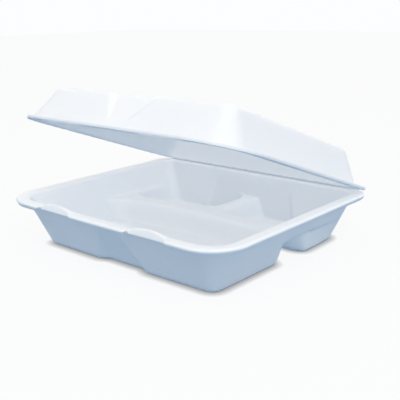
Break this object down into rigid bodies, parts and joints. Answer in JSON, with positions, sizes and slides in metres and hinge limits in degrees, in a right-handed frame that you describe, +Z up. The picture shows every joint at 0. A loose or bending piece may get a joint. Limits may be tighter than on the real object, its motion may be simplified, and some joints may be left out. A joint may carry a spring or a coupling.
{
  "type": "foam clamshell container",
  "caption": "White foam clamshell food container with a compartmented tray, a hinged lid, a turned-down rim and locking tongues at the front",
  "frame": {"origin": "on the surface that the tray stands on, under the middle of the rim", "axes": "+X to the right along the front edge, +Y from the front edge to the hinge, +Z up"},
  "size_m": [0.24, 0.2086, 0.1329],
  "materials": {
    "white_foam": "matte white foam sheet with a smooth, faintly satin skin"
  },
  "bodies": {
    "tray_body": {"base_tray": "white_foam"},
    "lid_body": {"lid": "white_foam"}
  },
  "joints": [
    {"name": "lid_hinge", "type": "hinge", "parent": "tray_body", "child": "lid_body", "pos_m": [0, 0.102, 0.04265], "axis": [-1, 0, 0], "range_deg": [-20, 160]}
  ]
}
